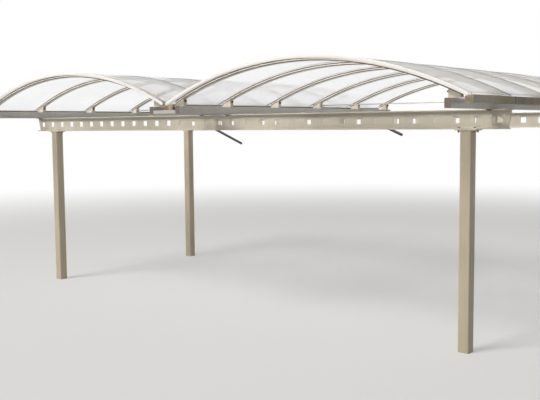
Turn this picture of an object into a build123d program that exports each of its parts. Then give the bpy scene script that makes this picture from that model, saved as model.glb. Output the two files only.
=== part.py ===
"""Carport: two glazed barrel vaults side by side, carried by four posts and two perforated beams.

Millimetres, +Z up. The posts stand on z = 0. X runs along the beams, the front is at -Y, and the
origin lies on the floor under the middle of the whole outline, drain spouts included.
Its x is the middle of the roof; the beams and posts sit a little to the right of that,
and a little in front of the roof's middle.
"""
import math
import os

from build123d import *

# Plan and height
post_spacing = 7280.0       # left post to right post, centre to centre
frame_spacing = 3000.0      # front beam web to back beam web
clear_height = 2440.0       # floor to underside of the beams
frame_shift = 57.0          # middle of the posts and beams, to the right of the roof's middle
frame_advance = 30.0        # and in front of it

# Posts: square tube with a closed foot, and a wider head plate
post_size = 130.0
post_wall = 5.0
foot_thickness = 12.0
head_length = 250.0
head_width = 150.0
head_thickness = 12.0

# Beams: a perforated web between two flange plates
beam_depth = 210.0
flange_width = 100.0
flange_thickness = 12.0
web_thickness = 8.0
hole_count = 33
hole_pitch = 250.0
hole_size = 75.0
web_end_margin = 58.0       # web left outside the last hole, at the bottom of the sloping end
end_slope = 35.0            # how much longer the beam is at its top

# Purlins: box tubes that lie across both beams, with a plug in each end
vault_span = 3720.0         # purlin to purlin within one vault
purlin_width = 70.0
purlin_height = 100.0
purlin_wall = 4.0
plug_plate = 3.0
plug_depth = 25.0

# Clips that hold the purlins down on the flanges
clip_width = 50.0
clip_thickness = 6.0
clip_lip = 20.0
clip_tail = 36.0

# Gutters: open channels outside each purlin, welded of a bottom, two sides and two stop ends
gutter_offset = 190.0       # purlin centre to gutter centre
gutter_width = 85.0
gutter_height = 75.0
gutter_wall = 3.0
gutter_rise = 27.0          # top of the gutters above the purlins
gutter_setback = 72.0       # the purlins stand out past the gutter ends by this
valley_gap = 6.0            # between the two gutters in the valley

# Cross bars under both ends of the valley gutters: box tube from purlin to purlin
bar_height = 42.0
bar_depth = 100.0
bar_wall = 3.0

# Arches: ribs, multi-wall glazing sheets on them, and a cap strip over the outer end of each end sheet
foot_overhang = 214.0       # arch foot, outside the purlin centre
foot_height = 44.0          # outer edge of the arch foot above the purlin
arch_rise = 471.0
inner_bay = 1016.0          # rib to rib
end_bay = 868.0
edge_overhang = 78.0        # the roof and the purlins go on past the end ribs by this
rib_width = 60.0
rib_depth = 43.4
rib_overhang = 100.0        # lower corner of the rib's end, outside the purlin centre
sheet_thickness = 16.0
sheet_joint = 12.0
cap_height = 36.0           # along the radius
cap_thickness = 10.0        # along the vault

# Rib shoes: welded brackets on the purlins
shoe_inboard = 35.0         # inner end of the shoe, from the purlin centre, flush with its side
shoe_base = 8.0
shoe_plate = 6.0

# Tie rods with a long hexagon nut at each end
tie_rib = 3                 # rib that has the tie rod, counted from the front, first is 0
tie_diameter = 16.0
tie_height = 46.0           # above the purlin
tie_nut_width = 30.0        # across the flats
tie_nut_length = 40.0

# Drain spouts at the back ends of the gutters
spout_diameter = 50.0
spout_wall = 4.0
spout_inset = 90.0          # outlet, from the back end of the gutter
outlet_size = 28.0          # square that the outlet's slots fill, inside the bore of the pipe
outlet_slots = 4            # the gutter's floor is slotted there, to hold back leaves
slot_width = 3.5
spout_drop = 60.0           # straight length of pipe below its top
spout_elbow = 45.0          # length of the mitred piece between the drop and the slope
side_spout_reach = 1300.0
side_spout_angle = 21.0     # degrees below level
valley_spout_reach = 1000.0
valley_spout_angle = 14.5
hopper_length = 80.0
hopper_depth = 45.0
hopper_wall = 4.0

seat_gap = 0.3              # between curved pieces that rest on each other
round_sides = 16            # flats round the pipes and rods

# Levels
post_top = clear_height - head_thickness
beam_top = clear_height + beam_depth
purlin_top = beam_top + purlin_height

# Plan positions
valley_half = gutter_offset + (gutter_width + valley_gap) / 2
vault_offset = valley_half + vault_span / 2
side_names = {-1: "left", 1: "right"}
depth_names = {-1: "front", 1: "back"}

# Arch geometry
foot_half = vault_span / 2 + foot_overhang
arch_radius = (foot_half**2 + arch_rise**2) / (2 * arch_rise)
foot_angle = math.asin(foot_half / arch_radius)
arch_centre_z = purlin_top + foot_height - arch_radius * math.cos(foot_angle)
sheet_inner = arch_radius - sheet_thickness
rib_outer = sheet_inner - seat_gap
rib_inner = rib_outer - rib_depth
rib_reach = vault_span / 2 + rib_overhang
rib_angle = math.asin(rib_reach / rib_inner)
shoe_outer = rib_inner - seat_gap
rib_rows = [-inner_bay * 1.5 - end_bay, -inner_bay * 1.5, -inner_bay / 2]
rib_rows += [-row for row in reversed(rib_rows)]

# Purlins end flush with the cap strips
purlin_half = rib_rows[-1] + rib_width / 2 + edge_overhang
tube_half = purlin_half - plug_plate
sheet_half = purlin_half - cap_thickness - seat_gap
gutter_half = purlin_half - gutter_setback
gutter_plate = gutter_half - gutter_wall

# Gutters: the shoes end at the gutter's inner wall
gutter_wall_x = vault_span / 2 + gutter_offset - gutter_width / 2
gutter_top = purlin_top + gutter_rise
gutter_bottom = gutter_top - gutter_height

# The outline runs from the front of the purlins to the end of the longest spout
outlet_y = gutter_half - spout_inset
origin_y = (outlet_y + side_spout_reach - purlin_half) / 2


def frame_y(depth):
    """Where the front (-1) or back (1) beam stands."""
    return depth * frame_spacing / 2 - frame_advance


def block(x, y, z):
    """Box between the two limits given for each axis."""
    size = (x[1] - x[0], y[1] - y[0], z[1] - z[0])
    middle = ((x[0] + x[1]) / 2, (y[0] + y[1]) / 2, (z[0] + z[1]) / 2)
    return Pos(*middle) * Box(*size)


def post(x, y):
    """Square tube with a flush foot plate, open at the top."""
    outer, inner = post_size / 2, post_size / 2 - post_wall
    tube = block((x - outer, x + outer), (y - outer, y + outer), (0, post_top))
    return tube - block((x - inner, x + inner), (y - inner, y + inner), (foot_thickness, post_top))


def head_plate(x, y):
    """Plate between post and beam."""
    x_range = (x - head_length / 2, x + head_length / 2)
    return block(x_range, (y - head_width / 2, y + head_width / 2), (post_top, clear_height))


def beam_half_length(z):
    """Half of the beam's length at height z: the ends slope out towards the top."""
    bottom = (hole_count - 1) / 2 * hole_pitch + hole_size / 2 + web_end_margin
    return bottom + end_slope * (z - clear_height) / beam_depth


def beam_web(y):
    """Web plate with a row of square holes and sloping ends."""
    low, high = clear_height + flange_thickness, beam_top - flange_thickness
    corners = [
        (frame_shift - beam_half_length(low), low),
        (frame_shift + beam_half_length(low), low),
        (frame_shift + beam_half_length(high), high),
        (frame_shift - beam_half_length(high), high),
    ]
    plate = Plane.XZ * make_face(Polyline(*corners, close=True))
    middle = (low + high) / 2
    holes = Sketch()
    for index in range(hole_count):
        x = frame_shift + (index - (hole_count - 1) / 2) * hole_pitch
        holes += Plane.XZ * Pos(x, middle) * Rectangle(hole_size, hole_size)
    return Pos(0, y - web_thickness / 2, 0) * extrude(plate - holes, amount=web_thickness, dir=(0, 1, 0))


def beam_flanges(y):
    """Bottom and top flange plates, square cut to the length of the web."""
    plates = []
    for low in (clear_height, beam_top - flange_thickness):
        reach = beam_half_length(low if low == clear_height else beam_top)
        x_range = (frame_shift - reach, frame_shift + reach)
        y_range = (y - flange_width / 2, y + flange_width / 2)
        plates.append(block(x_range, y_range, (low, low + flange_thickness)))
    return plates


def purlin(x):
    """Box tube, open at both ends."""
    outer, inner = purlin_width / 2, purlin_width / 2 - purlin_wall
    tube = block((x - outer, x + outer), (-tube_half, tube_half), (beam_top, purlin_top))
    bore_z = (beam_top + purlin_wall, purlin_top - purlin_wall)
    return tube - block((x - inner, x + inner), (-tube_half, tube_half), bore_z)


def purlin_plug(x, side):
    """End plug: a plate over the tube's end, with a collar inside the tube."""
    inset = purlin_wall + seat_gap
    outer, inner = purlin_width / 2, purlin_width / 2 - inset
    ends = sorted((side * tube_half, side * purlin_half))
    plate = block((x - outer, x + outer), ends, (beam_top, purlin_top))
    ends = sorted((side * (tube_half - plug_depth), side * tube_half))
    return plate + block((x - inner, x + inner), ends, (beam_top + inset, purlin_top - inset))


def clip(x, y, side):
    """Folded clip: bolted under the purlin, it grips the edge of the flange below."""
    edge = flange_width / 2 + seat_gap
    under = beam_top - flange_thickness - seat_gap
    profile = [
        (edge, beam_top),
        (edge + clip_tail, beam_top),
        (edge + clip_tail, beam_top - clip_thickness),
        (edge + clip_thickness, beam_top - clip_thickness),
        (edge + clip_thickness, under - clip_thickness),
        (edge - clip_lip, under - clip_thickness),
        (edge - clip_lip, under),
        (edge, under),
    ]
    wire = Wire.make_polygon([(x - clip_width / 2, y + side * py, pz) for py, pz in profile], close=True)
    return extrude(Face(wire), amount=clip_width, dir=(1, 0, 0))


def gutter_floor(x):
    """Bottom plate of a gutter, with a slotted outlet near its back end."""
    z_range = (gutter_bottom, gutter_bottom + gutter_wall)
    plate = block((x - gutter_width / 2, x + gutter_width / 2), (-gutter_plate, gutter_plate), z_range)
    pitch = (outlet_size - slot_width) / (outlet_slots - 1)
    for index in range(outlet_slots):
        slot_x = x + (index - (outlet_slots - 1) / 2) * pitch
        plate -= Pos(slot_x, outlet_y, gutter_bottom) * Box(slot_width, outlet_size, 4 * gutter_wall)
    return plate


def gutter_side(x, side):
    """Side plate: it stands on one edge of the bottom plate."""
    faces = sorted((x + side * gutter_width / 2, x + side * (gutter_width / 2 - gutter_wall)))
    return block(faces, (-gutter_plate, gutter_plate), (gutter_bottom + gutter_wall, gutter_top))


def stop_end(x, depth):
    """Plate that closes one end of a gutter."""
    y_range = sorted((depth * gutter_half, depth * gutter_plate))
    return block((x - gutter_width / 2, x + gutter_width / 2), y_range, (gutter_bottom, gutter_top))


def valley_bar(depth):
    """Box tube between the two valley purlins, flush with their ends: the valley gutters rest on it."""
    reach = vault_offset - vault_span / 2 - purlin_width / 2
    y_range = sorted((depth * purlin_half, depth * (purlin_half - bar_depth)))
    tube = block((-reach, reach), y_range, (gutter_bottom - bar_height, gutter_bottom))
    bore_y = (y_range[0] + bar_wall, y_range[1] - bar_wall)
    bore_z = (gutter_bottom - bar_height + bar_wall, gutter_bottom - bar_wall)
    return tube - block((-reach, reach), bore_y, bore_z)


def arch_band(centre_x, y, width, inner, outer, half_angle):
    """Part of a cylinder shell over one vault, as far as the angle on both sides of the crown."""
    def point(radius, angle):
        return (centre_x + radius * math.sin(angle), y - width / 2, arch_centre_z + radius * math.cos(angle))

    top = ThreePointArc(point(outer, -half_angle), point(outer, 0), point(outer, half_angle))
    bottom = ThreePointArc(point(inner, half_angle), point(inner, 0), point(inner, -half_angle))
    ends = [Line(top @ 1, bottom @ 0), Line(bottom @ 1, top @ 0)]
    return extrude(Face(Wire([top, ends[0], bottom, ends[1]])), amount=width, dir=(0, 1, 0))


def sheet(centre_x, bay):
    """Glazing sheet of one bay: it meets the next one over a rib, or ends behind a cap strip."""
    front = rib_rows[bay] + sheet_joint / 2 if bay > 0 else -sheet_half
    last = bay == len(rib_rows) - 2
    back = sheet_half if last else rib_rows[bay + 1] - sheet_joint / 2
    return arch_band(centre_x, (front + back) / 2, back - front, sheet_inner, arch_radius, foot_angle)


def shoe(centre_x, side, y):
    """Welded bracket: base plate on the purlin, two cheeks under the rib and an inner end plate."""
    inner = vault_span / 2 - shoe_inboard
    outer = gutter_wall_x - seat_gap
    base_top = purlin_top + shoe_base

    def under_rib(reach):
        return arch_centre_z + math.sqrt(shoe_outer**2 - reach**2)

    def corner(reach, z, depth):
        return (centre_x + side * reach, depth, z)

    def cheek(depth, thickness, outer_reach):
        middle = (inner + outer_reach) / 2
        curve = ThreePointArc(
            corner(inner, under_rib(inner), depth),
            corner(middle, under_rib(middle), depth),
            corner(outer_reach, under_rib(outer_reach), depth),
        )
        low_outer, low_inner = corner(outer_reach, base_top, depth), corner(inner, base_top, depth)
        edges = [curve, Line(curve @ 1, low_outer), Line(low_outer, low_inner), Line(low_inner, curve @ 0)]
        return extrude(Face(Wire(edges)), amount=thickness, dir=(0, 1, 0))

    half = rib_width / 2
    ends = sorted((centre_x + side * inner, centre_x + side * outer))
    base = block(ends, (y - half, y + half), (purlin_top, base_top))
    cheeks = cheek(y - half, shoe_plate, rib_reach) + cheek(y + half - shoe_plate, shoe_plate, rib_reach)
    return base + cheeks + cheek(y - half, rib_width, inner + shoe_plate)


def tie_rod(centre_x):
    """Rod from shoe to shoe, with a long hexagon nut at each end."""
    y, z = rib_rows[tie_rib], purlin_top + tie_height
    reach = vault_span / 2 - shoe_inboard
    along_x = Pos(centre_x, y, z) * Rot(0, 90, 0)
    rod = extrude(RegularPolygon(tie_diameter / 2, round_sides), amount=reach, both=True)
    nut = extrude(RegularPolygon(tie_nut_width / 2, 6, major_radius=False), amount=tie_nut_length)
    return along_x * (rod + Pos(0, 0, -reach) * nut + Pos(0, 0, reach - tie_nut_length) * nut)


def spout_pipe(x, top, reach, angle):
    """Mitred pipe: down from an outlet, through a short elbow, then back at the angle below level."""
    slope = math.radians(angle)
    turn = (math.pi / 2 + slope) / 2
    bend = top - spout_drop
    elbow = (outlet_y + spout_elbow * math.cos(turn), bend - spout_elbow * math.sin(turn))
    run = outlet_y + reach - spout_diameter / 2 * math.sin(slope) - elbow[0]
    corners = [(outlet_y, top), (outlet_y, bend), elbow, (elbow[0] + run, elbow[1] - run * math.tan(slope))]
    path = Polyline(*[(x, y, z) for y, z in corners])
    start = Plane((x, outlet_y, top), z_dir=(0, 0, -1))
    outer, inner = [
        sweep(start * RegularPolygon(radius, round_sides), path=path, transition=Transition.RIGHT)
        for radius in (spout_diameter / 2, spout_diameter / 2 - spout_wall)
    ]
    return outer - inner


def valley_spout():
    """Hopper under both valley gutters, with one pipe from its middle."""
    wide = valley_gap / 2 + gutter_width
    z_range = (gutter_bottom - hopper_depth, gutter_bottom)
    y_range = (outlet_y - hopper_length / 2, outlet_y + hopper_length / 2)
    hopper = block((-wide, wide), y_range, z_range)
    inner_x = (hopper_wall - wide, wide - hopper_wall)
    inner_y = (y_range[0] + hopper_wall, y_range[1] - hopper_wall)
    hopper -= block(inner_x, inner_y, (z_range[0] + hopper_wall, gutter_bottom))
    bore = Pos(0, outlet_y, z_range[0]) * Box(outlet_size, outlet_size, 4 * hopper_wall)
    return (hopper - bore) + spout_pipe(0, z_range[0], valley_spout_reach, valley_spout_angle)


def build_nodes():
    """Every sub-part by name, before it is moved to the origin."""
    nodes, head_plates = {}, []
    for depth, depth_name in depth_names.items():
        y = frame_y(depth)
        nodes[f"{depth_name}_beam_web"] = beam_web(y)
        nodes[f"{depth_name}_beam_flanges"] = beam_flanges(y)
        for side, side_name in side_names.items():
            x = frame_shift + side * post_spacing / 2
            nodes[f"post_{depth_name}_{side_name}"] = post(x, y)
            head_plates.append(head_plate(x, y))
    nodes["head_plates"] = head_plates

    plugs, clips, floors, walls, stop_ends, tie_rods = [], [], [], [], [], []
    for vault, name in side_names.items():
        centre_x = vault * vault_offset
        shoes = []
        for side in (-1, 1):
            place = "outer" if side == vault else "valley"
            purlin_x = centre_x + side * vault_span / 2
            nodes[f"{name}_{place}_purlin"] = purlin(purlin_x)
            gutter_x = purlin_x + side * gutter_offset
            floors.append(gutter_floor(gutter_x))
            walls += [gutter_side(gutter_x, face) for face in side_names]
            stop_ends += [stop_end(gutter_x, depth) for depth in depth_names]
            shoes += [shoe(centre_x, side, row) for row in rib_rows]
            plugs += [purlin_plug(purlin_x, -1), purlin_plug(purlin_x, 1)]
            for depth in depth_names:
                clips += [clip(purlin_x, frame_y(depth), -1), clip(purlin_x, frame_y(depth), 1)]
        nodes[f"{name}_rib_shoes"] = shoes
        for index, row in enumerate(rib_rows):
            band = arch_band(centre_x, row, rib_width, rib_inner, rib_outer, rib_angle)
            nodes[f"{name}_rib_{index + 1}"] = band
        for bay in range(len(rib_rows) - 1):
            nodes[f"{name}_sheet_{bay + 1}"] = sheet(centre_x, bay)
        cap_y = purlin_half - cap_thickness / 2
        nodes[f"{name}_cap_strips"] = [
            arch_band(centre_x, y, cap_thickness, arch_radius - cap_height, arch_radius, foot_angle)
            for y in (-cap_y, cap_y)
        ]
        tie_rods.append(tie_rod(centre_x))
        outer_gutter_x = centre_x + vault * (vault_span / 2 + gutter_offset)
        nodes[f"{name}_spout"] = spout_pipe(outer_gutter_x, gutter_bottom, side_spout_reach, side_spout_angle)
    nodes["valley_spout"] = valley_spout()
    nodes["valley_bars"] = [valley_bar(depth) for depth in depth_names]
    nodes["gutter_floors"] = floors
    nodes["gutter_walls"] = walls
    nodes["gutter_stop_ends"] = stop_ends
    nodes["purlin_end_plugs"] = plugs
    nodes["purlin_clips"] = clips
    nodes["tie_rods"] = tie_rods
    return nodes


def main():
    os.makedirs("parts", exist_ok=True)
    for name, shape in build_nodes().items():
        items = shape if isinstance(shape, list) else [shape]
        solids = [solid for item in items for solid in item.solids()]
        placed = [Pos(0, -origin_y, 0) * solid for solid in solids]
        export_step(placed[0] if len(placed) == 1 else Compound(placed), f"parts/{name}.step")
        print(name, len(placed))


main()
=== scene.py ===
# %% [markdown]
# # A carport with two glazed barrel vaults
# This lesson dresses a carport whose solid model already exists. The model gives every steel
# tube, curved rib and roof sheet its exact place. What it lacks is looks: paint that has
# weathered, clear sheets with water streaks, black rubber seals and the bolts that hold it
# together. We load the model first and measure it, because each later piece takes its place from
# those measurements.

# %% Load the solid model
import math

import bpy
from mathutils import Matrix, Vector


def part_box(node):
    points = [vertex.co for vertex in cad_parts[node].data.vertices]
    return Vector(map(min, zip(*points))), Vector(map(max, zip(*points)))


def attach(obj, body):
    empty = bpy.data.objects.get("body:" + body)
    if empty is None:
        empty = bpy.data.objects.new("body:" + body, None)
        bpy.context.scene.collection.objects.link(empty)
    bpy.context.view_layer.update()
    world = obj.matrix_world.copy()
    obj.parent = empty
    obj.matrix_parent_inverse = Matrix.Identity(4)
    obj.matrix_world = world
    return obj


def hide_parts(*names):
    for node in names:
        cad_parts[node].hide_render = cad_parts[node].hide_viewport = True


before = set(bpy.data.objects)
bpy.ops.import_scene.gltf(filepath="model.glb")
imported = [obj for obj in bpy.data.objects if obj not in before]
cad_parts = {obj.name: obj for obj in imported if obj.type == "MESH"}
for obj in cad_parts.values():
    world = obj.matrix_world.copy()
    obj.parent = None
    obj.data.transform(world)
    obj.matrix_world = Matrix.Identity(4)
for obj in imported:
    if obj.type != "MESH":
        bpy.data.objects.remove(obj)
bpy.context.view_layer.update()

# %% [markdown]
# ## The camera
# The picture was taken from the right of the front, a little above the height of the beams'
# underside. Camera height, direction and focal length were worked out from the even row of holes
# in the beams. A camera could be aimed with a Track To constraint. Here the three angles are
# written down instead, because the picture also leans by half a degree.

# %% Place the camera
camera_place = Vector((7.738, -10.311, 2.498))
camera_heading = 0.69268      # radians to the left of straight back
camera_dip = 0.08987          # radians below level
camera_lean = -0.00864        # radians about the line of sight
picture_width = 540           # dots
focal_pixels = 826.17
sensor_width = 36             # mm
view_limit = 200              # metres

bpy.ops.object.camera_add()
camera = bpy.context.object
camera.name = "Camera"
turn = Matrix.Rotation(camera_heading, 4, "Z") @ Matrix.Rotation(math.pi / 2 - camera_dip, 4, "X")
camera.matrix_world = Matrix.Translation(camera_place) @ turn @ Matrix.Rotation(camera_lean, 4, "Z")
camera.data.sensor_width = sensor_width
camera.data.lens = focal_pixels / picture_width * sensor_width
camera.data.clip_end = view_limit
bpy.context.scene.camera = camera
print("lens:", round(camera.data.lens, 2), "mm")

# %% [markdown]
# ## The sky
# The sky gives an even, faintly blue light. The camera, reflections and rays that pass through
# the clear roof see it as white, while its real strength on the object is lower, so that pale
# surfaces don't burn out. One background shader can't do both, so two are mixed, and a mask made
# from the Light Path node picks between them.

# %% White sky with a weaker light
sky_strength = 0.24
sky_tint = (0.93, 0.96, 1.0, 1)
scene = bpy.context.scene
scene.view_settings.view_transform = "Standard"
world = bpy.data.worlds.new("Studio sky")
scene.world = world
world.use_nodes = True
sky = world.node_tree
sky.nodes.clear()


def seen_directly(tree):
    """Mask that is 1 for rays that come straight from the camera, a reflection or a clear piece."""
    path = tree.nodes.new("ShaderNodeLightPath")
    first = tree.nodes.new("ShaderNodeMath")
    first.operation = "MAXIMUM"
    second = tree.nodes.new("ShaderNodeMath")
    second.operation = "MAXIMUM"
    tree.links.new(path.outputs["Is Camera Ray"], first.inputs[0])
    tree.links.new(path.outputs["Is Glossy Ray"], first.inputs[1])
    tree.links.new(first.outputs[0], second.inputs[0])
    tree.links.new(path.outputs["Is Transmission Ray"], second.inputs[1])
    return second.outputs[0]


dim_sky = sky.nodes.new("ShaderNodeBackground")
dim_sky.inputs["Color"].default_value = sky_tint
dim_sky.inputs["Strength"].default_value = sky_strength
white_sky = sky.nodes.new("ShaderNodeBackground")
white_sky.inputs["Color"].default_value = (1, 1, 1, 1)
sky_mix = sky.nodes.new("ShaderNodeMixShader")
sky_out = sky.nodes.new("ShaderNodeOutputWorld")
sky.links.new(seen_directly(sky), sky_mix.inputs["Fac"])
sky.links.new(dim_sky.outputs[0], sky_mix.inputs[1])
sky.links.new(white_sky.outputs[0], sky_mix.inputs[2])
sky.links.new(sky_mix.outputs[0], sky_out.inputs["Surface"])
print("sky strength:", sky_strength)

# %% [markdown]
# ## Studio lamps
# The paint has to look right under any light, so the studio stays plain: one large lamp high in
# front, a little to the left, and a much weaker one on the right. A sun lamp would throw hard
# shadows. A large square lamp gives soft ones.

# %% Two soft lamps
def add_lamp(name, place, target, size, power, colour):
    """A square soft lamp that points at the target."""
    aim = (Vector(target) - Vector(place)).to_track_quat("-Z", "Y").to_euler()
    bpy.ops.object.light_add(type="AREA", location=place, rotation=aim)
    lamp = bpy.context.object
    lamp.name = name
    lamp.data.shape = "SQUARE"
    lamp.data.size = size
    lamp.data.energy = power
    lamp.data.color = colour
    print(name, "at", place, power, "W")


warm, cool = (1.0, 0.97, 0.92), (0.92, 0.96, 1.0)
add_lamp("Main lamp", place=(-10, -36, 40), target=(0, 0, 2), size=20, power=28500, colour=warm)
add_lamp("Side lamp", place=(16, -4, 7), target=(1, 0, 2), size=8, power=40, colour=cool)

# %% [markdown]
# ## The floor
# The floor is a large pale square that catches the shadow. Near the posts it is mostly a matt
# surface. Further away it fades into the white sky, so that no horizon line crosses the picture.
# A curved backdrop could hide the horizon too, but it would have to turn with each view. The fade
# is a mask worked out from the distance to the middle, so it holds from every side.

# %% Pale floor
floor_size = 160
floor_grey = (0.50, 0.495, 0.485, 1)
fade_start, fade_end = 9, 24      # metres from the middle
least_white = 0.35

bpy.ops.object.select_all(action="DESELECT")
bpy.ops.mesh.primitive_plane_add(size=floor_size, location=(0, 0, 0))
floor = bpy.context.object
floor.name = "Floor"
floor_paint = bpy.data.materials.new("Pale floor")
floor_paint.use_nodes = True
tree = floor_paint.node_tree
matt = tree.nodes["Principled BSDF"]
matt.inputs["Base Color"].default_value = floor_grey
matt.inputs["Roughness"].default_value = 0.9
matt.inputs["Specular IOR Level"].default_value = 0.1
place = tree.nodes.new("ShaderNodeTexCoord")
distance = tree.nodes.new("ShaderNodeVectorMath")
distance.operation = "LENGTH"
fade = tree.nodes.new("ShaderNodeMapRange")
fade.inputs["From Min"].default_value = fade_start
fade.inputs["From Max"].default_value = fade_end
fade.inputs["To Min"].default_value = least_white
fade.interpolation_type = "SMOOTHSTEP"
seen = tree.nodes.new("ShaderNodeMath")
seen.operation = "MULTIPLY"
glow = tree.nodes.new("ShaderNodeEmission")
blend = tree.nodes.new("ShaderNodeMixShader")
tree.links.new(place.outputs["Object"], distance.inputs[0])
tree.links.new(distance.outputs["Value"], fade.inputs["Value"])
tree.links.new(fade.outputs["Result"], seen.inputs[0])
tree.links.new(seen_directly(tree), seen.inputs[1])
tree.links.new(seen.outputs[0], blend.inputs["Fac"])
tree.links.new(matt.outputs[0], blend.inputs[1])
tree.links.new(glow.outputs[0], blend.inputs[2])
tree.links.new(blend.outputs[0], tree.nodes["Material Output"].inputs["Surface"])
floor.data.materials.append(floor_paint)
print("floor:", tuple(floor.dimensions))

# %% [markdown]
# ## Helpers for shader nodes
# A finish is a small network of nodes. They could be added and wired by hand in the shader
# editor. Here the same few kinds come up again and again, so each gets a helper that adds the
# node, feeds its inputs and hands back its output.

# %% Node helpers
def srgb(red, green, blue):
    """A colour as it is read in a picture, 0 to 255, turned into the values that light needs."""
    def linear(value):
        value /= 255
        return value / 12.92 if value <= 0.04045 else ((value + 0.055) / 1.055) ** 2.4
    return (linear(red), linear(green), linear(blue), 1)


def feed(tree, value, socket):
    """Wire another node's output to a socket, or set the socket to a plain value."""
    if isinstance(value, bpy.types.NodeSocket):
        tree.links.new(value, socket)
    else:
        socket.default_value = value


def noise(tree, vector, scale, detail):
    """Cloudy noise from 0 to 1, finer with a larger scale."""
    node = tree.nodes.new("ShaderNodeTexNoise")
    node.inputs["Scale"].default_value = scale
    node.inputs["Detail"].default_value = detail
    node.inputs["Roughness"].default_value = 0.6
    tree.links.new(vector, node.inputs["Vector"])
    return node.outputs["Fac"]


def remap(tree, value, low, high, to_low=0.0, to_high=1.0):
    """Stretch the range from low to high over the new range, and hold it at both ends."""
    node = tree.nodes.new("ShaderNodeMapRange")
    for name, number in (("From Min", low), ("From Max", high), ("To Min", to_low), ("To Max", to_high)):
        feed(tree, number, node.inputs[name])
    tree.links.new(value, node.inputs["Value"])
    return node.outputs["Result"]


def maths(tree, operation, first, second=0, clamp=False):
    """One step of arithmetic."""
    node = tree.nodes.new("ShaderNodeMath")
    node.operation = operation
    node.use_clamp = clamp
    for index, number in enumerate((first, second)):
        feed(tree, number, node.inputs[index])
    return node.outputs[0]


def mix_colour(tree, factor, first, second):
    """The first colour where the factor is 0, the second where it is 1."""
    node = tree.nodes.new("ShaderNodeMix")
    node.data_type = "RGBA"
    for index, value in ((0, factor), (6, first), (7, second)):
        feed(tree, value, node.inputs[index])
    return node.outputs[2]


def stretched(tree, scale=(1, 1, 1)):
    """Object coordinates, squeezed or stretched along each axis."""
    place = tree.nodes.new("ShaderNodeTexCoord")
    mapping = tree.nodes.new("ShaderNodeMapping")
    mapping.inputs["Scale"].default_value = scale
    tree.links.new(place.outputs["Object"], mapping.inputs["Vector"])
    return mapping.outputs["Vector"]


print("mid grey as light:", round(srgb(128, 128, 128)[0], 3))

# %% [markdown]
# ## Weathering that every paint shares
# Paint and metal outdoors gather the same marks: wide faint blotches, thin dirt lines where rain
# runs down, and a fine grain that breaks up the highlight. Painting these by hand would need an
# image for each surface. A node group works them out from the place of each point, so one group
# serves every finish, with its own colours and amounts.

# %% Weathering node group
weathering = bpy.data.node_groups.new("Weathering", "ShaderNodeTree")
for name, kind, value in (
    ("Colour", "NodeSocketColor", (0.6, 0.6, 0.6, 1)),
    ("Dirt colour", "NodeSocketColor", (0.2, 0.18, 0.14, 1)),
    ("Blotches", "NodeSocketFloat", 0.3),
    ("Streaks", "NodeSocketFloat", 0.3),
    ("Smoothest", "NodeSocketFloat", 0.35),
    ("Roughest", "NodeSocketFloat", 0.6),
):
    weathering.interface.new_socket(name, in_out="INPUT", socket_type=kind).default_value = value
for name, kind in (
    ("Colour", "NodeSocketColor"), ("Roughness", "NodeSocketFloat"), ("Height", "NodeSocketFloat"),
):
    weathering.interface.new_socket(name, in_out="OUTPUT", socket_type=kind)
group_in = weathering.nodes.new("NodeGroupInput").outputs
group_out = weathering.nodes.new("NodeGroupOutput").inputs

upright = stretched(weathering, (16, 16, 0.9))      # squeezed sideways, so that noise becomes lines
blotch = remap(weathering, noise(weathering, stretched(weathering), scale=1.7, detail=6), 0.42, 0.68)
streak = remap(weathering, noise(weathering, upright, scale=1.6, detail=5), 0.5, 0.74)
grain = noise(weathering, stretched(weathering), scale=160, detail=3)
dirt = maths(
    weathering, "ADD",
    maths(weathering, "MULTIPLY", blotch, group_in["Blotches"]),
    maths(weathering, "MULTIPLY", streak, group_in["Streaks"]),
    clamp=True,
)
tinted = mix_colour(weathering, dirt, group_in["Colour"], group_in["Dirt colour"])
speckled = weathering.nodes.new("ShaderNodeVectorMath")
speckled.operation = "SCALE"
weathering.links.new(tinted, speckled.inputs[0])
weathering.links.new(remap(weathering, grain, 0.3, 0.7, 0.95, 1.04), speckled.inputs["Scale"])
weathering.links.new(speckled.outputs[0], group_out["Colour"])
worn = maths(weathering, "ADD", dirt, blotch)
rough = remap(weathering, worn, 0, 1.4, group_in["Smoothest"], group_in["Roughest"])
weathering.links.new(rough, group_out["Roughness"])
height = maths(weathering, "ADD", maths(weathering, "MULTIPLY", grain, 0.5), blotch)
weathering.links.new(height, group_out["Height"])
print("weathering:", len(weathering.nodes), "nodes")

# %% [markdown]
# ## Paints and metals
# With the group ready, a finish is a short list of values: its colour, the colour of its dirt,
# how much shows in blotches and in streaks, its smoothest and roughest places, and how metallic
# it is. The bump is very weak: powder paint on steel is only slightly uneven. Each finish keeps
# its own Principled shader, and what is the same all over, such as the metallic value, is set on
# the shader itself.

# %% Finishes that use the weathering
relief_strength, relief_depth = 0.12, 0.002


def weathered(name, colour, dirt_colour, blotches, streaks, smoothest, roughest, metallic=0.0):
    """A finish made of the weathering group, a weak bump and one shader."""
    material = bpy.data.materials.new(name)
    material.use_nodes = True
    tree = material.node_tree
    shader = tree.nodes["Principled BSDF"]
    shader.inputs["Metallic"].default_value = metallic
    group = tree.nodes.new("ShaderNodeGroup")
    group.node_tree = weathering
    for socket, value in (
        ("Colour", colour), ("Dirt colour", dirt_colour), ("Blotches", blotches),
        ("Streaks", streaks), ("Smoothest", smoothest), ("Roughest", roughest),
    ):
        group.inputs[socket].default_value = value
    relief = tree.nodes.new("ShaderNodeBump")
    relief.inputs["Strength"].default_value = relief_strength
    relief.inputs["Distance"].default_value = relief_depth
    tree.links.new(group.outputs["Colour"], shader.inputs["Base Color"])
    tree.links.new(group.outputs["Roughness"], shader.inputs["Roughness"])
    tree.links.new(group.outputs["Height"], relief.inputs["Height"])
    tree.links.new(relief.outputs["Normal"], shader.inputs["Normal"])
    print("finish:", name)
    return material


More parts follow.
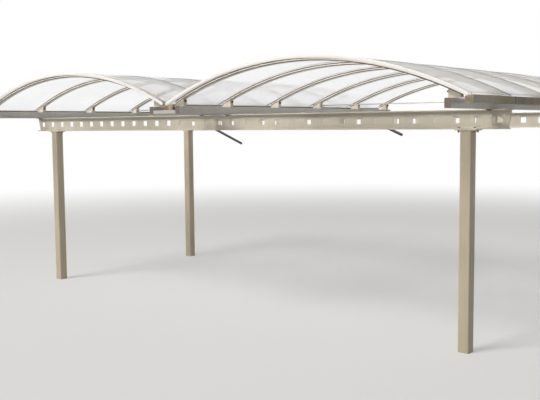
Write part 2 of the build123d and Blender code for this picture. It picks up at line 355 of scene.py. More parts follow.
grime = srgb(112, 102, 84)
post_paint = weathered("Cream paint on posts", srgb(186, 174, 151), grime, 0.14, 0.12, 0.38, 0.62)
beam_paint = weathered("Cream paint on beams", srgb(198, 191, 176), grime, 0.16, 0.10, 0.40, 0.66)
shoe_paint = weathered("Cream paint on shoes", srgb(206, 198, 182), grime, 0.20, 0.12, 0.40, 0.66)
purlin_paint = weathered(
    "Grey paint on purlins", srgb(186, 183, 179), srgb(104, 98, 86), 0.20, 0.12, 0.36, 0.58, metallic=0.15
)
# The gutters are painted darker than their pale ends. This is partly weathering, in the dark dirt blotches
# and streaks, and partly painted shade and a painted reflection on their sides.
gutter_paint_with_painted_shade = weathered(
    "Gutter coating darkened with painted shade", srgb(144, 131, 108), srgb(84, 78, 58), 0.42, 0.22, 0.42, 0.7
)
stop_paint = weathered(
    "Coating on gutter ends", srgb(172, 156, 132), srgb(104, 96, 76), 0.30, 0.20, 0.42, 0.7
)
edge_paint = weathered("White edge strip", srgb(240, 238, 235), srgb(180, 174, 164), 0.12, 0.12, 0.30, 0.5)
plug_paint = weathered("Brown grey plug", srgb(114, 102, 92), srgb(78, 72, 62), 0.30, 0.16, 0.42, 0.62)
pipe_plastic = weathered("Grey pipe", srgb(98, 96, 92), srgb(132, 126, 112), 0.30, 0.25, 0.38, 0.62)
seal_rubber = weathered("Black rubber", srgb(26, 25, 25), srgb(60, 56, 50), 0.20, 0.15, 0.55, 0.8)
rib_metal = weathered(
    "Cream aluminium", srgb(224, 219, 211), srgb(150, 142, 128), 0.12, 0.08, 0.30, 0.5, metallic=0.1
)
clip_metal = weathered(
    "Dull zinc", srgb(150, 140, 120), srgb(92, 78, 58), 0.34, 0.20, 0.42, 0.66, metallic=0.6
)
rod_metal = weathered(
    "Bright zinc", srgb(196, 193, 186), srgb(120, 112, 98), 0.20, 0.10, 0.28, 0.46, metallic=0.75
)
bolt_zinc = weathered(
    "Bolt zinc", srgb(138, 132, 120), srgb(86, 72, 54), 0.36, 0.10, 0.34, 0.56, metallic=0.8
)
bolt_dark = weathered(
    "Weathered bolt", srgb(84, 76, 66), srgb(58, 48, 38), 0.40, 0.10, 0.42, 0.66, metallic=0.5
)

# %% [markdown]
# ## Measuring the arches
# The ribs, the sheets and everything that lies along them share one arch centre in each vault.
# It could be typed in, but the model would then have to be measured by hand. A circle's radius
# follows from the width and the rise of a piece cut from it, so the centre is worked out from the
# middle sheet.

# %% Arch centres and radii
def arch_of(node):
    """Middle x, height of the centre and outer radius of a curved piece."""
    points = [v.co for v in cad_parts[node].data.vertices]
    low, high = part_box(node)
    foot = max(points, key=lambda p: p.x)
    half, rise = (high.x - low.x) / 2, high.z - foot.z
    radius = (half**2 + rise**2) / (2 * rise)
    return (low.x + high.x) / 2, high.z - radius, radius


def least_radius(node):
    """Radius of the underside of a curved piece in the left vault."""
    points = [v.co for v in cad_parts[node].data.vertices]
    return min((p - Vector((arch_x, p.y, arch_z))).length for p in points)


sides = ("left", "right")
arches = {side: arch_of(f"{side}_sheet_3") for side in sides}
arch_x, arch_z, roof_radius = arches["left"]
rib_low_radius = least_radius("left_rib_1")
rib_boxes = [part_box(f"left_rib_{n}") for n in range(1, 7)]
print("arch: middle", round(arch_x, 4), "centre height", round(arch_z, 4), "radius", round(roof_radius, 4))
print("underside of the ribs at radius", round(rib_low_radius, 4))

# %% [markdown]
# ## Lines that follow the shape
# Three thin dark lines are too small for pieces of their own: painted shade along each rib's lower
# edge, where its underside is in shade, the lap joint in each gutter, and the line where each end
# sheet crosses its rib. A line is a mask on the place of a point: its distance from a given value is
# taken, and the mask is 1 where that distance is small.

# %% Masks for lines
def axis(tree, name):
    """One of the object coordinates."""
    place = tree.nodes.new("ShaderNodeTexCoord")
    axes = tree.nodes.new("ShaderNodeSeparateXYZ")
    tree.links.new(place.outputs["Object"], axes.inputs[0])
    return axes.outputs[name]


def line_at(tree, value, middle, half_width, soft_edge=1.25):
    """Mask that is 1 within half a width of the middle and fades out quickly beyond it."""
    distance = maths(tree, "ABSOLUTE", maths(tree, "SUBTRACT", value, middle))
    return remap(tree, distance, half_width, half_width * soft_edge, 1.0, 0.0)


def draw_line(material, mask, colour):
    """Lay a dark line over the finish's own colour."""
    tree = material.node_tree
    base = tree.nodes["Principled BSDF"].inputs["Base Color"]
    under = base.links[0].from_socket
    tree.links.new(mix_colour(tree, mask, under, colour), base)


# The dark line along each rib's lower edge is painted shade: it stands for the rib's shaded underside.
shade_line_width, shade_line_lift = 0.0095, 0.0008
tree = rib_metal.node_tree
across = maths(tree, "SUBTRACT", maths(tree, "ABSOLUTE", axis(tree, "X")), abs(arch_x))
above = maths(tree, "SUBTRACT", axis(tree, "Z"), arch_z)
across_squared = maths(tree, "MULTIPLY", across, across)
above_squared = maths(tree, "MULTIPLY", above, above)
reach = maths(tree, "SQRT", maths(tree, "ADD", across_squared, above_squared))
shade_line = line_at(tree, reach, rib_low_radius + shade_line_width / 2 + shade_line_lift, shade_line_width / 2)
draw_line(rib_metal, shade_line, srgb(84, 74, 66))

lap_past_rib, lap_half_width = 0.05, 0.012
lap_y = rib_boxes[1][1].y + lap_past_rib
tree = gutter_paint_with_painted_shade.node_tree
lap = line_at(tree, axis(tree, "Y"), lap_y, lap_half_width)
draw_line(gutter_paint_with_painted_shade, lap, srgb(78, 72, 60))
print("groove from radius", round(rib_low_radius + shade_line_lift, 4), "gutter lap at y", round(lap_y, 3))

# %% [markdown]
# ## Clear roof sheets
# The roof sheets are clear plastic with thin walls inside, and a little milky after years in the
# sun. Light comes through, and shapes behind them blur. A rough Transmission gives the blur, and
# a lower Alpha lets some of the light straight through, so that the floor below isn't left in
# full shadow. A ray would meet this twice, on its way in and on its way out. Backfacing turns the
# second meeting off, and the sheet stays bright. Rain runs down the curve and leaves faint lines
# across the vault, and dust stays near the eaves, where the slope ends.

# %% Roof sheet finish
sheet_bend, sheet_clearness = 1.15, 0.88
rain_share, haze_share, eaves_share = 0.22, 0.42, 0.35
eaves_band = 0.14
seam_half_width = 0.006

sheet_low, sheet_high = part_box("left_sheet_3")
roof_middle = (rib_boxes[0][0].y + rib_boxes[-1][1].y) / 2
end_line = roof_middle - rib_boxes[0][0].y
roof_plastic = bpy.data.materials.new("Milky clear sheet")
roof_plastic.use_nodes = True
tree = roof_plastic.node_tree
shader = tree.nodes["Principled BSDF"]
shader.inputs["IOR"].default_value = sheet_bend
shader.inputs["Transmission Weight"].default_value = sheet_clearness
rain_lines = remap(tree, noise(tree, stretched(tree, (0.35, 9, 0.35)), scale=3.0, detail=6), 0.5, 0.76)
haze = remap(tree, noise(tree, stretched(tree), scale=1.6, detail=6), 0.44, 0.66)
eaves = remap(tree, axis(tree, "Z"), sheet_low.z, sheet_low.z + eaves_band, 1.0, 0.0)
rain_marks = maths(tree, "MULTIPLY", rain_lines, rain_share)
marks = maths(tree, "ADD", rain_marks, maths(tree, "MULTIPLY", haze, haze_share))
marks = maths(tree, "ADD", marks, maths(tree, "MULTIPLY", eaves, eaves_share), clamp=True)
from_middle = maths(tree, "ABSOLUTE", maths(tree, "SUBTRACT", axis(tree, "Y"), roof_middle))
seam = line_at(tree, from_middle, end_line, seam_half_width)
sheet_colour = mix_colour(tree, marks, srgb(253, 253, 254), srgb(214, 218, 230))
tree.links.new(mix_colour(tree, seam, sheet_colour, srgb(60, 56, 54)), shader.inputs["Base Color"])
tree.links.new(remap(tree, marks, 0, 1, 0.28, 0.55), shader.inputs["Roughness"])
veil = maths(tree, "MAXIMUM", remap(tree, marks, 0, 1, 0.58, 0.92), seam)
facing = tree.nodes.new("ShaderNodeNewGeometry")
front = maths(tree, "SUBTRACT", 1.0, facing.outputs["Backfacing"])
tree.links.new(maths(tree, "MULTIPLY", veil, front), shader.inputs["Alpha"])
print("sheets from", round(sheet_low.z, 3), "to", round(sheet_high.z, 3), "m high")
print("end lines", round(end_line, 3), "m from the middle")

# %% [markdown]
# ## Finishes on the solid model's own pieces
# Most pieces of the model already have the right shape, so they only need a finish. Each could be
# clicked and given one by hand. The names say what a piece is, so one table sets which finish
# each kind gets, and the first part of a name that fits counts.

# %% Assign the finishes
finish_of = {
    "post_": post_paint, "_beam_": beam_paint, "head_plates": beam_paint, "_purlin": purlin_paint,
    "purlin_end_plugs": plug_paint, "gutter_stop_ends": stop_paint, "gutter_": gutter_paint_with_painted_shade,
    "valley_bars": purlin_paint, "_rib_shoes": shoe_paint, "_rib_": rib_metal,
    "_sheet_": roof_plastic, "_cap_strips": edge_paint, "_spout": pipe_plastic,
    "purlin_clips": clip_metal, "tie_rods": rod_metal,
}
for name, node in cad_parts.items():
    part = next(part for part in finish_of if part in name)
    for slot in node.material_slots:
        slot.material = finish_of[part]
print("finished", len(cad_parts), "pieces of the model")

# %% [markdown]
# ## Helpers for modelling
# Every new piece is modelled the way it would be by hand: add a primitive, go into edit mode,
# pick some faces or edges, and bevel, inset or extrude them. An operator acts on everything that
# is selected, so selecting pieces and picking parts of them by place is done in small helpers.

# %% Modelling helpers
hair = 1e-5      # metres: two places nearer than this are the same


def only(*pieces):
    """Select these pieces and nothing else, the first one active."""
    bpy.ops.object.select_all(action="DESELECT")
    for piece in pieces:
        piece.select_set(True)
    bpy.context.view_layer.objects.active = pieces[0]


def begin(name, add, **settings):
    """Add a primitive with nothing else selected, and name it."""
    bpy.ops.object.select_all(action="DESELECT")
    add(**settings)
    piece = bpy.context.object
    piece.name = name
    return piece


def pick(piece, kind, test):
    """Go into edit mode with only the edges or faces selected whose middle passes the test."""
    bpy.ops.object.mode_set(mode="EDIT")
    bpy.ops.mesh.select_mode(type=kind)
    bpy.ops.mesh.select_all(action="DESELECT")
    bpy.ops.object.mode_set(mode="OBJECT")
    mesh = piece.data
    if kind == "EDGE":
        ends = [[mesh.vertices[i].co for i in edge.vertices] for edge in mesh.edges]
        chosen = [edge for edge, (a, b) in zip(mesh.edges, ends) if test((a + b) / 2)]
    else:
        chosen = [face for face in mesh.polygons if test(face.center)]
    for item in chosen:
        item.select = True
    bpy.ops.object.mode_set(mode="EDIT")


def settle(piece):
    """Put the piece's place, turn and size into its mesh."""
    only(piece)
    bpy.ops.object.transform_apply(location=True, rotation=True, scale=True)


def join_as(name, parts):
    """Make one piece of several."""
    only(*parts)
    bpy.ops.object.join()
    parts[0].name = name
    return parts[0]


def repeat(pattern, moves, name):
    """Copies of a finished pattern, one for each move, each with its own mesh, joined into one piece."""
    copies = []
    for move in moves:
        twin = pattern.copy()
        twin.data = pattern.data.copy()
        bpy.context.collection.objects.link(twin)
        twin.data.transform(move)
        copies.append(twin)
    bpy.data.objects.remove(pattern)
    return join_as(name, copies)


def dress(piece, material, smooth=math.radians(35)):
    """Shade, finish and fasten a piece to the carport."""
    only(piece)
    bpy.ops.object.shade_smooth_by_angle(angle=smooth)
    piece.data.materials.clear()
    piece.data.materials.append(material)
    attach(piece, "root")
    triangles = sum(len(face.vertices) - 2 for face in piece.data.polygons)
    print(piece.name, triangles, "triangles", [round(v, 3) for v in piece.dimensions])


print("places match within", hair, "m")

# %% [markdown]
# ## Strips that follow the arch
# All seals and edge strips are a small rounded section carried round the arch. A curve with a
# bevel would do it too. Here the section is a plane whose corners are beveled, and the Spin
# operator carries its outline from one foot of the arch to the other, as a lathe would. The ribs
# are shorter than the sheets, so the half turn of each is worked out from its own width.

# %% Half turns and the strip helper
sheet_boxes = [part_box(f"left_sheet_{n}") for n in range(1, 6)]
vault_shift = Vector((arches["right"][0] - arch_x, 0, 0))
rib_top_radius = rib_boxes[0][1].z - arch_z
sheet_turn = math.asin((sheet_boxes[2][1].x - arch_x) / roof_radius)
rib_turn = math.asin((rib_boxes[2][1].x - arch_x) / rib_top_radius)
arc_steps = 44


def arc_strip(name, outer, inner, width, half_turn, corner):
    """A strip over the left vault at y = 0, from its outer to its inner radius."""
    middle = (outer + inner) / 2
    foot = (arch_x - middle * math.sin(half_turn), 0, arch_z + middle * math.cos(half_turn))
    leaning = (0, -half_turn - math.pi / 2, 0)
    strip = begin(name, bpy.ops.mesh.primitive_plane_add, size=1, location=foot, rotation=leaning)
    strip.scale = (outer - inner, width, 1)
    settle(strip)
    bpy.ops.object.mode_set(mode="EDIT")
    bpy.ops.mesh.select_all(action="SELECT")
    bpy.ops.mesh.bevel(offset=corner, segments=2, affect="VERTICES")
    bpy.ops.mesh.delete(type="ONLY_FACE")
    bpy.ops.mesh.select_all(action="SELECT")
    bpy.ops.mesh.spin(steps=arc_steps, angle=-2 * half_turn, center=(arch_x, 0, arch_z), axis=(0, 1, 0))
    bpy.ops.mesh.edge_face_add()
    bpy.ops.mesh.select_all(action="DESELECT")
    bpy.ops.mesh.select_mode(type="EDGE")
    bpy.ops.mesh.select_non_manifold()
    bpy.ops.mesh.edge_face_add()
    bpy.ops.mesh.select_all(action="SELECT")
    bpy.ops.mesh.normals_make_consistent(inside=False)
    bpy.ops.object.mode_set(mode="OBJECT")
    return strip


def on_both_vaults(rows):
    """Moves that put a strip of the left vault on each row of both vaults."""
    shifts = (Vector(), vault_shift)
    return [Matrix.Translation(shift + Vector((0, y, 0))) for y in rows for shift in shifts]


print("half turn of sheets and ribs:", [round(math.degrees(turn), 2) for turn in (sheet_turn, rib_turn)])

# %% [markdown]
# ## Rubber seals between the sheets
# Where two sheets meet over a rib, a black rubber seal lies in the joint, a thin dark line on the
# roof. A dark line in the finish would look the same from afar. Close by, a seal has a round edge
# and lies a little lower than the sheets, so it is modelled.

# %% Seals in the joints
joint_inset, joint_lift = 0.0012, 0.0008      # below the sheets' outside, above the ribs' top
joint_play, joint_corner = 0.0004, 0.002
joint_rows = [(a[1].y + b[0].y) / 2 for a, b in zip(sheet_boxes, sheet_boxes[1:])]
joint_width = sheet_boxes[1][0].y - sheet_boxes[0][1].y - joint_play
strip = arc_strip(
    "Joint_seals", roof_radius - joint_inset, rib_top_radius + joint_lift,
    joint_width, sheet_turn, joint_corner,
)
dress(repeat(strip, on_both_vaults(joint_rows), "Joint_seals"), seal_rubber)

# %% [markdown]
# ## Rubber seals beside the ribs
# Under the sheets another pair of seals runs along both flanks of each rib. They give each rib
# its double dark outline from below. The same helper makes them, with a shorter half turn, and
# each is sunk a hair's breadth into its rib so that no gap shows.

# %% Seals along the ribs' flanks
flank_height, flank_proud, flank_drop = 0.010, 0.003, 0.030
flank_sunk, flank_corner, flank_short = 0.0004, 0.001, 0.001
flank_radius = roof_radius - flank_drop
strip = arc_strip(
    "Rib_flank_seals", flank_radius + flank_height / 2, flank_radius - flank_height / 2,
    flank_proud, rib_turn - flank_short, flank_corner,
)
off_rib = flank_proud / 2 - flank_sunk
flank_rows = [y for low, high in rib_boxes for y in (low.y - off_rib, high.y + off_rib)]
dress(repeat(strip, on_both_vaults(flank_rows), "Rib_flank_seals"), seal_rubber)

# %% [markdown]
# ## Edge strips with soft corners
# The strips over the roof's front and back ends catch the light along their edges. The solid
# model leaves them sharp. A Bevel modifier on a copy would round them, but the model's mesh is
# loose triangles. So they are spun once more from a section with rounded corners, and these
# pieces stand in for the model's own.

# %% Edge strips
strip_corner = 0.0025
cap_low, cap_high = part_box("left_cap_strips")
cap_rows = sorted({round(v.co.y, 4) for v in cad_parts["left_cap_strips"].data.vertices})
cap_width = cap_rows[1] - cap_rows[0]
strip = arc_strip(
    "Edge_strips", roof_radius, least_radius("left_cap_strips"), cap_width, sheet_turn, strip_corner
)
end_rows = (cap_low.y + cap_width / 2, cap_high.y - cap_width / 2)
edge_strips = repeat(strip, on_both_vaults(end_rows), "Edge_strips")
dress(edge_strips, edge_paint)
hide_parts("left_cap_strips", "right_cap_strips")

# %% [markdown]
# ## Rounded tubes
# Square tube is rolled, so its long corners are round, and a thin bright line runs down each of
# them. A profile could be extruded along a path. A block set to the size of the model's tube,
# with its four long edges beveled, gives the same with less.

# %% Posts and purlins
post_corner, purlin_corner = 0.013, 0.009
tube_smooth = math.radians(30)


def box_piece(name, low, high):
    """A block between two corners."""
    block = begin(name, bpy.ops.mesh.primitive_cube_add, size=1, location=(low + high) / 2)
    block.scale = high - low
    settle(block)
    return block


def rounded_tube(name, node, along, corner, segments):
    """A block as large as the node, with the edges along one axis rounded."""
    low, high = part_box(node)
    tube = box_piece(name, low, high)
    across = [i for i in range(3) if i != along]
    pick(tube, "EDGE", lambda p: all(min(p[i] - low[i], high[i] - p[i]) < hair for i in across))
    bpy.ops.mesh.bevel(offset=corner, segments=segments, affect="EDGES")
    bpy.ops.object.mode_set(mode="OBJECT")
    return tube


depths = ("front", "back")
post_names = [f"post_{depth}_{side}" for depth in depths for side in sides]
purlin_names = [f"{side}_{place}_purlin" for side in sides for place in ("outer", "valley")]
for node in post_names:
    post = rounded_tube(f"Tube_{node}", node, along=2, corner=post_corner, segments=4)
    dress(post, post_paint, smooth=tube_smooth)
    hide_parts(node)
for node in purlin_names:
    purlin = rounded_tube(f"Tube_{node}", node, along=1, corner=purlin_corner, segments=3)
    dress(purlin, purlin_paint, smooth=tube_smooth)
    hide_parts(node)

# %% [markdown]
# ## Plugs in the purlins' ends
# Each purlin ends in a pressed plug. Its face is inset and pushed in a little, so the rim throws
# a thin shadow line. Drawn in the finish, that line would look flat from the side. One plug is
# modelled and copied, turned round for the back ends.

# %% Purlin plugs
plug_half_width, plug_corner = 0.035, 0.008
rim_width, press_slope, press_depth = 0.005, 0.002, 0.0015
tube_low, tube_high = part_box(purlin_names[0])
plug_low, plug_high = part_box("purlin_end_plugs")
plug_depth = tube_low.y - plug_low.y
plug_top = tube_high.z - tube_low.z
plug = box_piece(
    "Purlin_plugs", Vector((-plug_half_width, 0, 0)), Vector((plug_half_width, plug_depth, plug_top))
)
pick(plug, "EDGE", lambda p: 0 < p.y < plug_depth)
bpy.ops.mesh.bevel(offset=plug_corner, segments=3, affect="EDGES")
pick(plug, "FACE", lambda p: p.y < hair)
bpy.ops.mesh.inset(thickness=rim_width, depth=0)
bpy.ops.mesh.inset(thickness=press_slope, depth=-press_depth)
bpy.ops.object.mode_set(mode="OBJECT")
half_turn_round = Matrix.Rotation(math.pi, 4, "Z")
moves = []
for node in purlin_names:
    low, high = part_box(node)
    x = (low.x + high.x) / 2
    moves.append(Matrix.Translation((x, plug_low.y, low.z)))
    moves.append(Matrix.Translation((x, plug_high.y, low.z)) @ half_turn_round)
plugs = repeat(plug, moves, "Purlin_plugs")
dress(plugs, plug_paint)
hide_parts("purlin_end_plugs")

# %% [markdown]
# ## A hexagon bolt
# Three sizes of hexagon bolt hold the frame together. A bolt is a washer, a chamfered head and a
# short threaded end. The thread is far too fine to show, so it stays a plain pin. Each part is a
# short prism whose upper edge is beveled, and all sizes follow from the width across the flats.
# A bolt stands on its seat at zero with its head upwards.

# %% Bolt helpers
def disc(name, corners, radius, bottom, top, chamfer):
    """A short prism whose top edge is beveled."""
    prism = begin(
        name, bpy.ops.mesh.primitive_cylinder_add,
        vertices=corners, radius=radius, depth=top - bottom, location=(0, 0, (top + bottom) / 2),
    )
    settle(prism)
    pick(prism, "EDGE", lambda p: abs(p.z - top) < hair)
    bpy.ops.mesh.bevel(offset=chamfer, segments=2, affect="EDGES")
    bpy.ops.object.mode_set(mode="OBJECT")
    return prism


def bolt(name, across, height, shank):
    """Washer, hexagon and, where a shank stands out of it, a threaded end."""
    washer, washer_radius = across * 0.09, across * 0.64
    thread_radius, chamfer = across * 0.31, across * 0.05
    top = washer + height
    parts = [
        disc(name, 20, washer_radius, 0, washer, washer * 0.4),
        disc(name, 6, across / math.sqrt(3), washer, top, chamfer),
    ]
    if shank:
        parts.append(disc(name, 14, thread_radius, top, top + shank, chamfer))
    return join_as(name, parts)


def middle_of(node):
    """Middle of a piece of the model."""
    low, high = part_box(node)
    return (low + high) / 2


flip = Matrix.Rotation(math.pi, 4, "X")      # for what hangs head down
print("over its corners a hexagon is", round(2 / math.sqrt(3), 3), "times as wide as over its flats")

# %% [markdown]
# ## Bolts at the posts' heads
# Four bolts go through each head plate and the beam's lower flange. The heads sit on the flange
# inside the beam, and the nuts under the plate. They could be placed one by one. The posts' boxes
# give all the places at once.

# %% Head bolts and nuts
head_across, head_high = 0.024, 0.011
nut_high, thread_end = head_high * 1.2, 0.008
bolt_out, bolt_side = 0.095, 0.034      # from the post's middle, along and across the beam
flange_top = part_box("front_beam_web")[0].z
head_moves, nut_moves = [], []
for node in post_names:
    low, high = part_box(node)
    for dx in (-bolt_out, bolt_out):
        for dy in (-bolt_side, bolt_side):
            x, y = (low.x + high.x) / 2 + dx, (low.y + high.y) / 2 + dy
            head_moves.append(Matrix.Translation((x, y, flange_top)))
            nut_moves.append(Matrix.Translation((x, y, high.z)) @ flip)
heads = repeat(bolt("Head_bolts", head_across, head_high, shank=0), head_moves, "Head_bolts")
dress(heads, bolt_zinc)
nuts = repeat(bolt("Head_nuts", head_across, nut_high, thread_end), nut_moves, "Head_nuts")
dress(nuts, bolt_zinc)

# %% [markdown]
# ## Bolts in the purlin clips
# Each folded clip has one bolt up into the purlin, with its head below the clip's tail. Its place
# is where a purlin crosses a beam, so it is worked out from both.

# %% Clip bolts
clip_across, clip_high, clip_thread = 0.017, 0.008, 0.006
clip_under, clip_reach = 0.006, 0.072      # below the purlin, from the middle of the beam
clip_moves = []
for node in purlin_names:
    low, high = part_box(node)
    for depth in depths:
        beam_low, beam_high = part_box(f"{depth}_beam_web")
        beam_y = (beam_low.y + beam_high.y) / 2
        for dy in (-clip_reach, clip_reach):
            place = Matrix.Translation(((low.x + high.x) / 2, beam_y + dy, low.z - clip_under))
            clip_moves.append(place @ flip)
clip_bolts = repeat(bolt("Clip_bolts", clip_across, clip_high, clip_thread), clip_moves, "Clip_bolts")
dress(clip_bolts, bolt_zinc)

# %% [markdown]
# ## Bolts in the rib brackets
# One dark bolt holds each rib foot. It shows on the bracket's inner face, near its top, so it is
# laid on its side. The brackets that hold a tie rod have the rod's nut there instead.

# %% Shoe bolts
shoe_across, shoe_high, shoe_thread = 0.026, 0.014, 0.010
shoe_bolt_drop = 0.024      # below the bracket's top
rod_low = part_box("tie_rods")[0]
shoe_moves = []
for node in purlin_names:
    low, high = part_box(node)
    arch_middle = arches[node.split("_")[0]][0]
    inward = math.copysign(1, arch_middle - low.x)
    end_x = high.x if inward > 0 else low.x
    end_top = arch_z + math.sqrt(rib_low_radius**2 - (end_x - arch_middle)**2)
    on_its_side = Matrix.Rotation(inward * math.pi / 2, 4, "Y")
    for rib_low, rib_high in rib_boxes:
        if not rib_low.y < rod_low.y < rib_high.y:
            place = (end_x, (rib_low.y + rib_high.y) / 2, end_top - shoe_bolt_drop)
            shoe_moves.append(Matrix.Translation(place) @ on_its_side)
shoe_bolts = repeat(bolt("Shoe_bolts", shoe_across, shoe_high, shoe_thread), shoe_moves, "Shoe_bolts")
dress(shoe_bolts, bolt_dark)

# %% [markdown]
# ## A weld bead
# A weld is a row of small overlapping ripples. It could be a bump on a plain rod, but the outline
# would stay straight. A small disc is extruded along the seam in short steps instead, and each
# step swells or narrows it in turn.

# %% Weld bead helper
bead_radius, bead_length, ripples = 0.0035, 0.062, 12
tip_share, first_swell, narrowing, last_pinch = 0.4, 2.4, 0.84, 0.5


def weld_bead(name):
    """A rippled bead along X, its middle at zero."""
    stride = bead_length / ripples / 2
    bead = begin(
        name, bpy.ops.mesh.primitive_circle_add, vertices=8, radius=bead_radius * tip_share,
        fill_type="NGON", location=(-bead_length / 2, 0, 0), rotation=(0, math.pi / 2, 0),
    )
    settle(bead)
    bpy.ops.object.mode_set(mode="EDIT")
    bpy.ops.mesh.select_all(action="SELECT")
    for step in range(2 * ripples):
        bpy.ops.mesh.extrude_region_move(TRANSFORM_OT_translate={"value": (stride, 0, 0)})
        if step == 0:
            grow = first_swell
        elif step == 2 * ripples - 1:
            grow = last_pinch
        else:
            grow = narrowing if step % 2 else 1 / narrowing
        x = (step + 1) * stride - bead_length / 2
        bpy.ops.transform.resize(value=(1, grow, grow), center_override=(x, 0, 0))
    bpy.ops.mesh.select_all(action="SELECT")
    bpy.ops.mesh.normals_make_consistent(inside=False)
    bpy.ops.object.mode_set(mode="OBJECT")
    return bead


print("bead", bead_length, "m long with", ripples, "ripples")

# %% [markdown]
# ## Beads on posts and brackets
# The posts are welded to their head plates all round, and the rib brackets to the purlins along
# their front and back edges. Two short beads with overlapping ends lie on each face of a post,
# and one on each edge of a bracket.

# %% Welds at posts and shoes
bead_shift = 0.02542      # from the middle of a post's face, so that two beads overlap
post_moves = []
for node in post_names:
    low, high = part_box(node)
    head = Matrix.Translation((*middle_of(node).xy, high.z))
    half = (high.x - low.x) / 2
    for quarter in range(4):
        face = head @ Matrix.Rotation(quarter * math.pi / 2, 4, "Z")
        post_moves += [face @ Matrix.Translation((along, -half, 0)) for along in (-bead_shift, bead_shift)]
dress(repeat(weld_bead("Post_welds"), post_moves, "Post_welds"), post_paint)

edges = [y for low, high in rib_boxes for y in (low.y, high.y)]
shoe_weld_moves = [
    Matrix.Translation((middle_of(node).x, y, tube_high.z)) for node in purlin_names for y in edges
]
dress(repeat(weld_bead("Shoe_welds"), shoe_weld_moves, "Shoe_welds"), shoe_paint)

# %% [markdown]
# ## Fillets along the beams' webs
# The welds between the webs and their flanges are long and even, so they need no ripples. An
# extruded triangle would do. Here each is a long thin block round the corner line, whose edges
# are cut until its section is nearly a diamond. The web's lower edge is shorter than its upper
# one, because the beam's ends slope.

# %% Web welds
fillet, fillet_cut = 0.0045, 0.85
short_below, short_above = 0.040, 0.006      # how far a fillet ends inside the web's box
end_margin = 0.1
fillets = []
for depth in depths:
    low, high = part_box(f"{depth}_beam_web")
    for y in (low.y, high.y):
        for z, short in ((low.z, short_below), (high.z, short_above)):
            near = Vector((low.x + short, y - fillet, z - fillet))
            far = Vector((high.x - short, y + fillet, z + fillet))
            strip = box_piece("Web_welds", near, far)
            pick(strip, "EDGE", lambda p: low.x + end_margin < p.x < high.x - end_margin)
            bpy.ops.mesh.bevel(offset=fillet * fillet_cut, segments=1, affect="EDGES")
            bpy.ops.object.mode_set(mode="OBJECT")
            fillets.append(strip)
dress(join_as("Web_welds", fillets), beam_paint)

# %% [markdown]
# ## A drain pipe
# The model's pipes have sixteen flats and a sharp mitre. The real ones are round, with a smooth
# elbow and a collar at each joint. A curve with a bevel would make the pipe too, but not its open
# end with a wall. So a ring is extruded down from the gutter, spun round the elbow and extruded on
# along the slope. A Solidify modifier then gives the wall its thickness.

# %% Pipe and collar helpers
pipe_radius, pipe_wall, elbow_radius = 0.025, 0.004, 0.072
collar_radius, collar_play, collar_rim = 0.0292, 0.0004, 0.001
mitre_drop, mitre_length = 0.060, 0.045      # of the model's pipes: down to the mitre, and along it
joint_past_elbow, joint_length = 0.024, 0.048
down = Vector((0, 0, -1))


def collar(place, direction, length):
    """A short collar round the pipe, its rims beveled."""
    ring = begin(
        "Collar", bpy.ops.mesh.primitive_cylinder_add, vertices=28, radius=collar_radius, depth=length,
        location=place, rotation=direction.to_track_quat("Z", "Y").to_euler(), end_fill_type="NGON",
    )
    settle(ring)
    pick(ring, "FACE", lambda p: abs((p - place).dot(direction)) > length / 2 - hair)
    bpy.ops.mesh.inset(thickness=collar_radius - pipe_radius - collar_play, depth=0)
    bpy.ops.mesh.delete(type="FACE")
    bpy.ops.object.mode_set(mode="OBJECT")
    bevel = ring.modifiers.new("Rim", "BEVEL")
    bevel.width = collar_rim
    bevel.segments = 2
    bevel.limit_method = "ANGLE"
    bpy.ops.object.modifier_apply(modifier=bevel.name)
    return ring


def drain_pipe(name, x, outlet, top, end_y, slope, collar_drop, collar_length):
    """Pipe down, round an elbow and back at the slope until its lip reaches end_y, with two collars."""
    turn = math.pi / 2 - slope
    tangent = elbow_radius * math.tan(turn / 2)
    half_bend = (math.pi / 2 + slope) / 2
    mitre_fall = mitre_length * (math.sin(half_bend) - math.cos(half_bend) * math.tan(slope))
    corner_z = top - mitre_drop - mitre_fall      # where the two straight stretches would meet
    bend_z = corner_z + tangent
    pipe = begin(
        name, bpy.ops.mesh.primitive_circle_add, vertices=28, radius=pipe_radius, location=(x, outlet, top)
    )
    settle(pipe)
    bpy.ops.object.mode_set(mode="EDIT")
    bpy.ops.mesh.select_all(action="SELECT")
    bpy.ops.mesh.extrude_region_move(TRANSFORM_OT_translate={"value": (0, 0, bend_z - top)})
    bpy.ops.mesh.spin(steps=9, angle=-turn, center=(x, outlet + elbow_radius, bend_z), axis=(1, 0, 0))
    run = (end_y - pipe_radius * math.sin(slope) - outlet) / math.cos(slope) - tangent
    along = Vector((0, math.cos(slope), -math.sin(slope)))
    bpy.ops.mesh.extrude_region_move(TRANSFORM_OT_translate={"value": along * run})
    bpy.ops.mesh.select_all(action="SELECT")
    bpy.ops.mesh.normals_make_consistent(inside=False)
    bpy.ops.object.mode_set(mode="OBJECT")
    wall = pipe.modifiers.new("Wall", "SOLIDIFY")
    wall.thickness = pipe_wall
    wall.offset = -1
    bpy.ops.object.modifier_apply(modifier=wall.name)
    print(name, "straight", round(top - bend_z, 3), "run", round(run, 3))
    below_elbow = Vector((x, outlet, corner_z)) + along * (tangent + joint_past_elbow)
    return [
        pipe,
        collar(Vector((x, outlet, top - collar_drop)), down, collar_length),
        collar(below_elbow, along, joint_length),
    ]


print("pipe", 2 * pipe_radius, "m across, its collars", 2 * collar_radius)

# %% [markdown]
# ## The pipes under the outer gutters
# One pipe hangs under each outer gutter. Its place, its top and how far back it reaches come from
# the model's pipe, which it stands in for. Only the slope is written down.

# %% Outer drain pipes
side_slope = math.radians(21)
for side in sides:
    node = f"{side}_spout"
    low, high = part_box(node)
    parts = drain_pipe(
        f"Pipe_{side}", (low.x + high.x) / 2, low.y + pipe_radius, high.z, high.y, side_slope,
        collar_drop=0.013, collar_length=0.022,
    )
    spout = join_as(f"Pipe_{side}", parts)
    dress(spout, pipe_plastic)
    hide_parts(node)

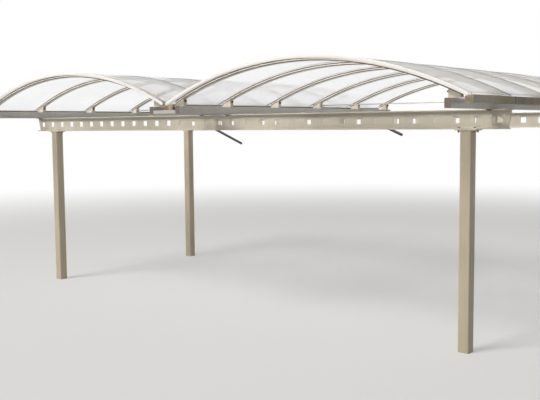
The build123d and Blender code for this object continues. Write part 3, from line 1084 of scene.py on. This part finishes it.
# %% [markdown]
# ## The pipe under the valley
# Both valley gutters empty into one flat hopper, and a pipe leads away from its middle. The
# hopper is a block with its lower edges rounded, as a folded or moulded box would have.

# %% Valley hopper and pipe
valley_slope = math.radians(14.5)
hopper_depth, hopper_length, hopper_corner = 0.045, 0.080, 0.004
low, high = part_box("valley_spout")
hopper_floor = high.z - hopper_depth
hopper = box_piece(
    "Hopper", Vector((low.x, low.y, hopper_floor)), Vector((high.x, low.y + hopper_length, high.z))
)
pick(hopper, "EDGE", lambda p: p.z < high.z - 10 * hair)
bpy.ops.mesh.bevel(offset=hopper_corner, segments=2, affect="EDGES")
bpy.ops.object.mode_set(mode="OBJECT")
parts = drain_pipe(
    "Pipe_valley", 0, low.y + hopper_length / 2, hopper_floor, high.y, valley_slope,
    collar_drop=0.010, collar_length=0.020,
)
spout = join_as("Pipe_valley", [*parts, hopper])
dress(spout, pipe_plastic)
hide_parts("valley_spout")

# %% [markdown]
# ## Tie rods
# A round rod ties the feet of each vault together, with a long hexagon nut, a lock nut and a
# washer against each bracket. Each is a prism like the bolts' parts. Half of the rod is modelled
# standing up, and turned copies of it make both rods.

# %% Tie rods
rod_radius, washer_radius, washer_thickness = 0.008, 0.019, 0.0025
nut_flat, nut_length = 0.015, 0.040            # from the middle to a flat, and in from the bracket
lock_flat, lock_start, lock_end = 0.013, 0.0405, 0.052
flat_over_corner = math.cos(math.pi / 6)
low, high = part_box("tie_rods")
rod_y, rod_z = (low.y + high.y) / 2, (low.z + high.z) / 2
tip = (high.x - low.x - vault_shift.x) / 2
nut_tip = tip - washer_thickness
half = join_as("Tie_rods", [
    disc("Tie_rods", 20, rod_radius, 0, tip, chamfer=0.001),
    disc("Nut", 6, nut_flat / flat_over_corner, tip - nut_length, nut_tip, chamfer=0.0015),
    disc("Nut", 6, lock_flat / flat_over_corner, tip - lock_end, tip - lock_start, chamfer=0.0012),
    disc("Nut", 24, washer_radius, nut_tip, tip, chamfer=0.0006),
])
moves = []
for side in sides:
    rod_middle = Matrix.Translation((arches[side][0], rod_y, rod_z))
    moves += [rod_middle @ Matrix.Rotation(turn * math.pi / 2, 4, "Y") for turn in (-1, 1)]
rods = repeat(half, moves, "Tie_rods")
dress(rods, rod_metal)
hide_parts("tie_rods")
